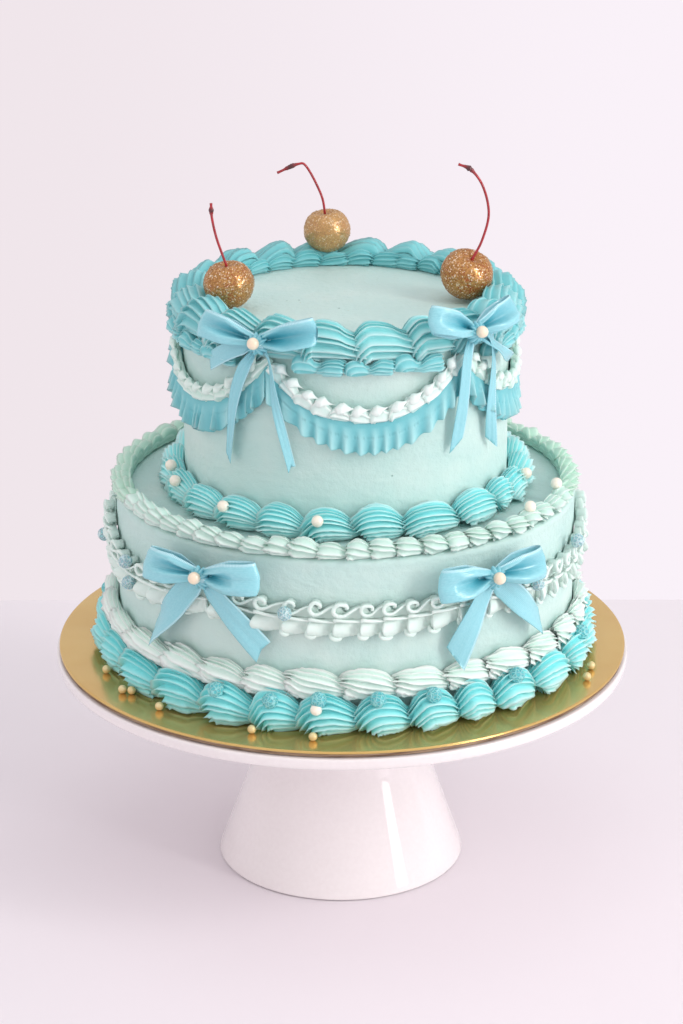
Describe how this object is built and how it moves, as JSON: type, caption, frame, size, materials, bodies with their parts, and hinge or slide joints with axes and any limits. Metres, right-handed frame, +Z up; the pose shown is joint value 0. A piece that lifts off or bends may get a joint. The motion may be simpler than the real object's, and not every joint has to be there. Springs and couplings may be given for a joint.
{
  "type": "two-tier cake on stand",
  "caption": "Two-tier round cake with piped shell borders, swags, ribbon bows and glittered cherries, on a gold board and a white footed cake stand.",
  "frame": {"origin": "on the axis of the stand, on the surface that its foot rests on", "axes": "+Z up; the front of the cake faces -Y; +X to its right as the viewer sees it"},
  "size_m": [0.3112, 0.3112, 0.3938],
  "materials": {
    "glazed_ceramic": "glossy",
    "gold_foil": "satin",
    "buttercream": "matte",
    "teal_icing": "satin",
    "mint_icing": "satin",
    "satin": "satin",
    "gold_glitter": "glittering",
    "cherry_stem": "glossy",
    "pearl": "glossy"
  },
  "bodies": {
    "root": {"stand": "glazed_ceramic", "board": "gold_foil", "lower_tier": "buttercream", "upper_tier": "buttercream", "lower_base_shells": "teal_icing", "lower_collar_shells": "mint_icing", "lower_edge_shells": "mint_icing", "upper_base_shells": "teal_icing", "upper_border_shells": "teal_icing", "lower_garland_1": "mint_icing", "lower_garland_2": "mint_icing", "lower_garland_3": "mint_icing", "lower_garland_4": "mint_icing", "lower_garland_5": "mint_icing", "lower_garland_6": "mint_icing", "upper_fringe_1": "teal_icing", "upper_string_1": "mint_icing", "upper_ruffle_1": "teal_icing", "upper_fringe_2": "teal_icing", "upper_string_2": "mint_icing", "upper_ruffle_2": "teal_icing", "upper_fringe_3": "teal_icing", "upper_string_3": "mint_icing", "upper_ruffle_3": "teal_icing", "upper_fringe_4": "teal_icing", "upper_string_4": "mint_icing", "upper_ruffle_4": "teal_icing", "upper_fringe_5": "teal_icing", "upper_string_5": "mint_icing", "upper_ruffle_5": "teal_icing", "lower_bow_1": "satin", "lower_bow_2": "satin", "lower_bow_3": "satin", "lower_bow_4": "satin", "upper_bow_1": "satin", "upper_bow_2": "satin", "upper_bow_3": "satin", "cherry_1": "gold_glitter", "cherry_stem_1": "cherry_stem", "cherry_2": "gold_glitter", "cherry_stem_2": "cherry_stem", "cherry_3": "gold_glitter", "cherry_stem_3": "cherry_stem"}
  },
  "joints": []
}
